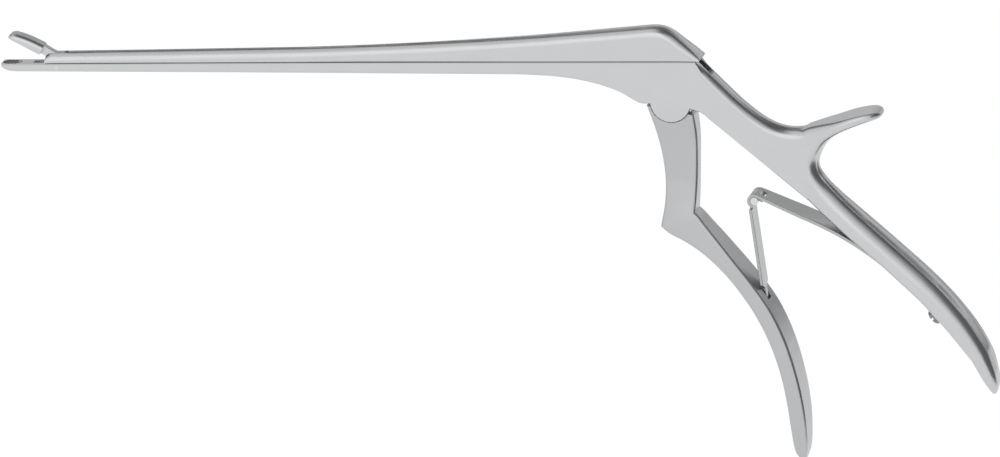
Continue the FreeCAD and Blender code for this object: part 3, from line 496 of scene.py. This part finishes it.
@dataclass
class SmoothedNode:
    """CAD node shown through a copy whose facets are bent into even curves.

    The copy keeps the node's corners in place. A piece of strip gets small edge breaks instead.

    Attributes:
        node: CAD node that the copy stands for.
        body: Body that the copy moves with.
        slot: Material slot of the record that the piece would take its finish from; not used.
        finish: Steel that the piece is made of.
        edge_deg: Turn between two faces from which the edge between them stays sharp.
        edge_break_mm: Size of the edge breaks, or 0 for even curves instead.
        edge_break_steps: Facets across one edge break.
        edge_break_round: Form of the break, where 0.5 is a round one.
        flat_deg: Faces that turn less than this are joined before their edges are broken.
        merge_mm: Corners nearer than this become one.
        sliver_mm: Edges shorter than this are taken out.
        large_face_pull: How much large faces set the shading, from 1 to 100, where 50 is neutral.
    """

    node: str
    body: str
    slot: str
    finish: SteelFinish
    edge_deg: float = 32.0
    edge_break_mm: float = 0.0
    edge_break_steps: int = 3
    edge_break_round: float = 0.5
    flat_deg: float = 0.5
    merge_mm: float = 0.002
    sliver_mm: float = 0.001
    large_face_pull: int = 80

    def refine(self, shape: bmesh.types.BMesh) -> None:
        """Nothing more to cut on a rigid piece."""

    def attach(self, piece: bpy.types.Object) -> None:
        """Let the piece ride on its body."""
        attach(piece, self.body)

    def break_edges(self, shape: bmesh.types.BMesh) -> None:
        """Round the sharp edges a little.

        Args:
            shape: The copy's mesh.
        """
        flat = math.radians(self.flat_deg)
        bmesh.ops.dissolve_limit(shape, angle_limit=flat, verts=shape.verts, edges=shape.edges)
        limit = math.radians(self.edge_deg)
        sharp = [edge for edge in shape.edges if edge.calc_face_angle(0.0) >= limit]
        bmesh.ops.bevel(
            shape,
            geom=sharp,
            offset=self.edge_break_mm * MM,
            offset_type="OFFSET",
            segments=self.edge_break_steps,
            profile=self.edge_break_round,
            affect="EDGES",
            clamp_overlap=True,
        )

    def shape_mesh(self, mesh: bpy.types.Mesh) -> None:
        """Round a mesh, and mark what is smooth on it and what is sharp.

        Args:
            mesh: The copy's mesh.
        """
        shape = bmesh.new()
        shape.from_mesh(mesh)
        bmesh.ops.remove_doubles(shape, verts=shape.verts, dist=self.merge_mm * MM)
        bmesh.ops.dissolve_degenerate(shape, dist=self.sliver_mm * MM, edges=shape.edges)
        if self.edge_break_mm > 0:
            self.break_edges(shape)
        else:
            EvenCurves(self.edge_deg).bend(shape)
        self.refine(shape)
        limit = math.radians(self.edge_deg)
        for face in shape.faces:
            face.smooth = True
        for edge in shape.edges:
            edge.smooth = len(edge.link_faces) == 2 and edge.calc_face_angle(0.0) < limit
        shape.to_mesh(mesh)
        shape.free()

    def even_normals(self, piece: bpy.types.Object) -> None:
        """Let large faces stay flat up to their rounded edges.

        Args:
            piece: The copy, whose modifier is turned into plain mesh.
        """
        weighted = piece.modifiers.new("weighted normals", "WEIGHTED_NORMAL")
        weighted.mode = "FACE_AREA_WITH_ANGLE"
        weighted.weight = self.large_face_pull
        weighted.keep_sharp = True
        graph = bpy.context.evaluated_depsgraph_get()
        made = bpy.data.meshes.new_from_object(
            piece.evaluated_get(graph), preserve_all_data_layers=True, depsgraph=graph
        )
        piece.modifiers.clear()
        piece.data = made

    def build(self, frame: dict) -> bpy.types.Object:
        """Make the copy and let it stand for the node.

        Args:
            frame: The loaded frame.

        Returns:
            The new piece, joined to what it moves with.
        """
        mesh = frame["nodes"][self.node].data.copy()
        mesh.name = self.node + "_skin"
        self.shape_mesh(mesh)
        piece = bpy.data.objects.new(self.node + "_skin", mesh)
        bpy.context.scene.collection.objects.link(piece)
        self.even_normals(piece)
        piece.data.materials.clear()
        piece.data.materials.append(self.finish.material())
        self.attach(piece)
        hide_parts(self.node)
        LOG.info("shaped %s in %s", self.node, self.finish.name)
        return piece


@dataclass
class LeafSpring(SmoothedNode):
    """Leaf spring screwed to the handle, cut into even rows along the part where it would bend.

    Attributes:
        root_body: Body that the screwed end stays on; not used.
        root_mm: Where the rows of cuts start.
        free_mm: Where the rows of cuts end.
        rows: Stretches that this part is cut into.
    """

    root_body: str = "frame"
    root_mm: Point = (12.0, 0.0, -22.9)
    free_mm: Point = (-3.0, 0.0, -14.9)
    rows: int = 24

    def refine(self, shape: bmesh.types.BMesh) -> None:
        """Cut the strip into even rows from root_mm to free_mm.

        Args:
            shape: The strip's mesh.
        """
        root = Vector(self.root_mm) * MM
        way = Vector(self.free_mm) * MM - root
        for row in range(self.rows + 1):
            parts = shape.verts[:] + shape.edges[:] + shape.faces[:]
            bmesh.ops.bisect_plane(shape, geom=parts, plane_co=root + way * (row / self.rows), plane_no=way)

    def attach(self, piece: bpy.types.Object) -> None:
        """Fix the piece where it stands, joined to no body."""
        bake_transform(piece)


@dataclass(frozen=True)
class Passage:
    """Smooth passage from one side of the room to the next.

    Attributes:
        axis: Part of the direction that decides, X, Y or Z.
        start: Value up to which only the first side is seen.
        end: Value from which only the second side is seen.
    """

    axis: str
    start: float
    end: float


@dataclass(frozen=True)
class SoftBox:
    """Rectangular lamp that faces the object, with its sizes in metres and its power in watts."""

    name: str
    place_m: Point
    width_m: float
    height_m: float
    power_w: float

    def hang(self, aim: Vector) -> None:
        """Hang the lamp.

        Args:
            aim: Point that it faces.
        """
        data = bpy.data.lights.new(self.name, "AREA")
        data.shape = "RECTANGLE"
        data.size = self.width_m
        data.size_y = self.height_m
        data.energy = self.power_w
        holder = bpy.data.objects.new(self.name, data)
        place = Vector(self.place_m)
        turned = (aim - place).to_track_quat("-Z", "Y").to_matrix().to_4x4()
        holder.matrix_world = Matrix.Translation(place) @ turned
        bpy.context.scene.collection.objects.link(holder)


@dataclass
class Studio:
    """White floor, soft light and the camera at the photograph's angle.

    Steel shows the room around it, so each side of the room has bands of brightness, given as
    degrees above the horizon and a level.

    Attributes:
        origin_mm: Place of the lever's pivot, which the target is measured from.
        target_mm: Middle of the view.
        turn_deg: How far the camera stands to the right of square on.
        rise_deg: How far it looks down.
        roll_deg: How far it leans.
        view_width_mm: Width of the view at the target.
        distance_m: Distance from the camera to the target.
    """

    origin_mm: Point = (-36.0, 0.0, 15.9)
    target_mm: Point = (-46.44, 0.0, -33.39)
    turn_deg: float = 12.9
    rise_deg: float = 15.8
    roll_deg: float = -0.15
    view_width_mm: float = 250.4
    distance_m: float = 4.8
    sensor_mm: float = 36.0
    view_end_m: float = 100.0

    floor_colour: str = "#e6e6e6"
    floor_half_m: float = 3.0
    floor_drop_m: float = 0.25
    floor_glow: float = 0.37
    # The table ends to the right of the object, so that edges facing that way mirror the door past it.
    table_right_m: float = 0.55

    # In front, only the ceiling on the right is dark, for rounded upper edges that turn to the right.
    front_right_bands: Bands = ((-90, 1.0), (0, 1.0), (47, 0.95), (68, 0.2), (90, 0.12))
    front_left_bands: Bands = ((-90, 1.0), (0, 1.0), (90, 0.95))
    # A dark curtain hangs high behind the object. The flat tops mirror the bright wall under it.
    back_left_bands: Bands = (
        (-90, 1.0),
        (-8, 1.0),
        (0, 0.6),
        (6, 0.6),
        (12, 0.9),
        (20, 0.85),
        (27, 0.3),
        (34, 0.12),
        (48, 0.12),
        (62, 0.9),
        (90, 0.95),
    )
    # Edges that face right and upwards mirror a dark skirting here, a bright strip and a dark wall.
    back_right_bands: Bands = (
        (-90, 1.0),
        (-8, 1.0),
        (-4, 0.8),
        (0, 0.4),
        (4, 0.1),
        (10, 1.0),
        (17, 1.0),
        (22, 0.45),
        (28, 0.14),
        (36, 0.1),
        (90, 0.12),
    )
    left_to_right: Passage = Passage("X", -0.2, 0.12)
    front_to_back: Passage = Passage("Y", -0.1, 0.35)
    # Far to the right is a grey door, which edges that face right mirror.
    wall_to_door: Passage = Passage("X", 0.55, 0.8)
    door_level: float = 0.14

    soft_light: float = 0.8
    background: float = 1.0
    lamps: tuple[SoftBox, ...] = (
        SoftBox("front soft box", (-0.3, -1.6, 0.5), 1.6, 1.2, 2.0),
        SoftBox("top soft box", (-0.2, -1.2, 1.2), 1.0, 0.8, 1.0),
    )

    def point(self, place_mm: Point) -> Vector:
        """Point in metres for a place in millimetres, measured from the lever's pivot."""
        return (Vector(place_mm) + Vector(self.origin_mm)) * MM

    def camera(self) -> bpy.types.Object:
        """Set the camera.

        Returns:
            The camera object, made the scene's own.
        """
        turn = math.radians(self.turn_deg)
        rise = math.radians(self.rise_deg)
        right = Vector((math.cos(turn), math.sin(turn) * math.cos(rise), -math.sin(turn) * math.sin(rise)))
        up = Vector((0.0, math.sin(rise), math.cos(rise)))
        back = right.cross(up)
        data = bpy.data.cameras.new("camera")
        data.sensor_width = self.sensor_mm
        data.sensor_fit = "HORIZONTAL"
        data.lens = self.sensor_mm * self.distance_m / (self.view_width_mm * MM)
        data.clip_end = self.view_end_m
        holder = bpy.data.objects.new("camera", data)
        stand = Matrix.Translation(self.point(self.target_mm) + back * self.distance_m)
        axes = Matrix((right, up, back)).transposed().to_4x4()
        roll = Matrix.Rotation(math.radians(self.roll_deg), 4, "Z")
        holder.matrix_world = stand @ axes @ roll
        bpy.context.scene.collection.objects.link(holder)
        bpy.context.scene.camera = holder
        return holder

    def floor(self) -> None:
        """Lay the pale floor, which glows for the camera and in reflections only."""
        low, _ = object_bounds()
        level = low[2] - self.floor_drop_m
        half = self.floor_half_m
        right = self.table_right_m
        corners = [(-half, -half, level), (right, -half, level), (right, half, level), (-half, half, level)]
        mesh = bpy.data.meshes.new("floor")
        mesh.from_pydata(corners, [], [(0, 1, 2, 3)])
        floor = bpy.data.objects.new("floor", mesh)
        bpy.context.scene.collection.objects.link(floor)
        made = bpy.data.materials.new("white paper floor")
        made.use_nodes = True
        tree = made.node_tree
        tree.nodes.clear()
        paper = add_node(tree, "ShaderNodeBsdfDiffuse", {"in:Color": linear(self.floor_colour)}, {})
        glow = add_node(
            tree,
            "ShaderNodeEmission",
            {"in:Color": grey(self.floor_glow)},
            {"Strength": self.seen(tree)},
        )
        both = add_node(tree, "ShaderNodeAddShader", {}, {0: paper.outputs[0], 1: glow.outputs[0]})
        add_node(tree, "ShaderNodeOutputMaterial", {}, {"Surface": both.outputs[0]})
        made.cycles.emission_sampling = "NONE"
        mesh.materials.append(made)
        floor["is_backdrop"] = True

    def seen(self, tree: bpy.types.NodeTree) -> bpy.types.NodeSocket:
        """One for rays from the camera, from a reflection or through a clear piece, else zero.

        Args:
            tree: Node tree that asks.

        Returns:
            Socket with the factor.
        """
        path = add_node(tree, "ShaderNodeLightPath", {}, {})
        mirrored = add_node(
            tree,
            "ShaderNodeMath",
            {"operation": "MAXIMUM"},
            {0: path.outputs["Is Glossy Ray"], 1: path.outputs["Is Transmission Ray"]},
        )
        return add_node(
            tree,
            "ShaderNodeMath",
            {"operation": "MAXIMUM"},
            {0: path.outputs["Is Camera Ray"], 1: mirrored.outputs[0]},
        ).outputs[0]

    def wall(
        self, tree: bpy.types.NodeTree, height: bpy.types.NodeSocket, bands: Bands
    ) -> bpy.types.NodeSocket:
        """Brightness of one side of the room by height above the horizon.

        Args:
            tree: Node tree of the surroundings.
            height: Sine of the height, as a share from straight down to straight up.
            bands: Pairs of degrees above the horizon and level.

        Returns:
            Socket with the brightness.
        """
        ramp = add_node(tree, "ShaderNodeValToRGB", {}, {0: height})
        stops = ramp.color_ramp
        stops.interpolation = "EASE"
        while len(stops.elements) < len(bands):
            stops.elements.new(0.5)
        for stop, (degrees, level) in zip(stops.elements, bands):
            stop.position = (math.sin(math.radians(degrees)) + 1) / 2
            stop.color = grey(level)
        return ramp.outputs["Color"]

    def room(self, tree: bpy.types.NodeTree) -> bpy.types.NodeSocket:
        """Brightness of the room in each direction.

        Args:
            tree: Node tree of the surroundings.

        Returns:
            Socket with the brightness.
        """
        way = add_node(tree, "ShaderNodeTexCoord", {}, {}).outputs["Generated"]
        parts = add_node(tree, "ShaderNodeSeparateXYZ", {}, {0: way})
        height = add_node(
            tree,
            "ShaderNodeMapRange",
            {"in:From Min": -1.0, "in:From Max": 1.0},
            {"Value": parts.outputs["Z"]},
        ).outputs["Result"]
        side, behind, door = (
            add_node(
                tree,
                "ShaderNodeMapRange",
                {
                    "interpolation_type": "SMOOTHSTEP",
                    "in:From Min": passage.start,
                    "in:From Max": passage.end,
                },
                {"Value": parts.outputs[passage.axis]},
            ).outputs["Result"]
            for passage in (self.left_to_right, self.front_to_back, self.wall_to_door)
        )
        front, back = (
            add_node(
                tree,
                "ShaderNodeMix",
                {"data_type": "RGBA"},
                {
                    MIX_SHARE: side,
                    MIX_FIRST: self.wall(tree, height, left),
                    MIX_SECOND: self.wall(tree, height, right),
                },
            ).outputs[MIX_RESULT]
            for left, right in (
                (self.front_left_bands, self.front_right_bands),
                (self.back_left_bands, self.back_right_bands),
            )
        )
        walls = add_node(
            tree,
            "ShaderNodeMix",
            {"data_type": "RGBA"},
            {MIX_SHARE: behind, MIX_FIRST: front, MIX_SECOND: back},
        ).outputs[MIX_RESULT]
        return add_node(
            tree,
            "ShaderNodeMix",
            {"data_type": "RGBA", MIX_SECOND: grey(self.door_level)},
            {MIX_SHARE: door, MIX_FIRST: walls},
        ).outputs[MIX_RESULT]

    def world(self) -> None:
        """Surround the object: white for the camera, the room for reflections, plain light for the rest."""
        world = bpy.data.worlds.new("studio")
        bpy.context.scene.world = world
        world.use_nodes = True
        world.cycles.sampling_method = "NONE"
        tree = world.node_tree
        tree.nodes.clear()
        camera = add_node(tree, "ShaderNodeLightPath", {}, {}).outputs["Is Camera Ray"]
        soft = add_node(
            tree,
            "ShaderNodeBackground",
            {"in:Color": WHITE, "in:Strength": self.soft_light},
            {},
        )
        mirrored = add_node(
            tree,
            "ShaderNodeBackground",
            {"in:Strength": 1.0},
            {"Color": self.room(tree)},
        )
        white = add_node(
            tree,
            "ShaderNodeBackground",
            {"in:Color": WHITE, "in:Strength": self.background},
            {},
        )
        around = add_node(
            tree,
            "ShaderNodeMixShader",
            {},
            {0: self.seen(tree), 1: soft.outputs[0], 2: mirrored.outputs[0]},
        )
        shown = add_node(
            tree,
            "ShaderNodeMixShader",
            {},
            {0: camera, 1: around.outputs[0], 2: white.outputs[0]},
        )
        add_node(tree, "ShaderNodeOutputWorld", {}, {"Surface": shown.outputs[0]})

    def build(self) -> None:
        """Set up floor, surroundings, lamps and camera."""
        self.floor()
        self.world()
        for lamp in self.lamps:
            lamp.hang(self.point(self.target_mm))
        self.camera()
        bpy.context.scene.view_settings.view_transform = "Standard"
        LOG.info("studio is set")


def main() -> None:
    """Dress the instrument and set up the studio."""
    logging.basicConfig(level=logging.INFO, format="%(name)s: %(message)s")
    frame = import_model()
    pieces = (
        SmoothedNode("frame", "frame", "body_steel", BLASTED_STEEL),
        SmoothedNode("slide", "slide", "body_steel", BLASTED_STEEL),
        SmoothedNode("upper_jaw", "jaw", "body_steel", BLASTED_STEEL),
        # The lever's steel carries painted shade: its colour is set darker than the body's.
        SmoothedNode("front_handle", "lever", "body_steel", LEVER_PAINTED_SHADE_STEEL),
        LeafSpring("leaf_spring", "rear_spring", "spring_steel", SPRING_STEEL, edge_break_mm=0.2),
        SmoothedNode("spring_strut", "strut", "spring_steel", SPRING_STEEL, edge_break_mm=0.3),
    )
    for piece in pieces:
        piece.build(frame)
    dressings = (
        NodeDressing(BLASTED_STEEL, ("drive_pin", "jaw_link_pin")),
        NodeDressing(TURNED_STEEL, ("pivot_screw", "jaw_pivot_pin", "spring_hinge_pin")),
        # The spring's screw is dressed in painted shade: its colour is set dark grey.
        NodeDressing(SCREW_PAINTED_SHADE_STEEL, ("spring_screw",)),
    )
    for dressing in dressings:
        dressing.dress(frame)
    Studio().build()


if __name__ == "__main__":
    main()
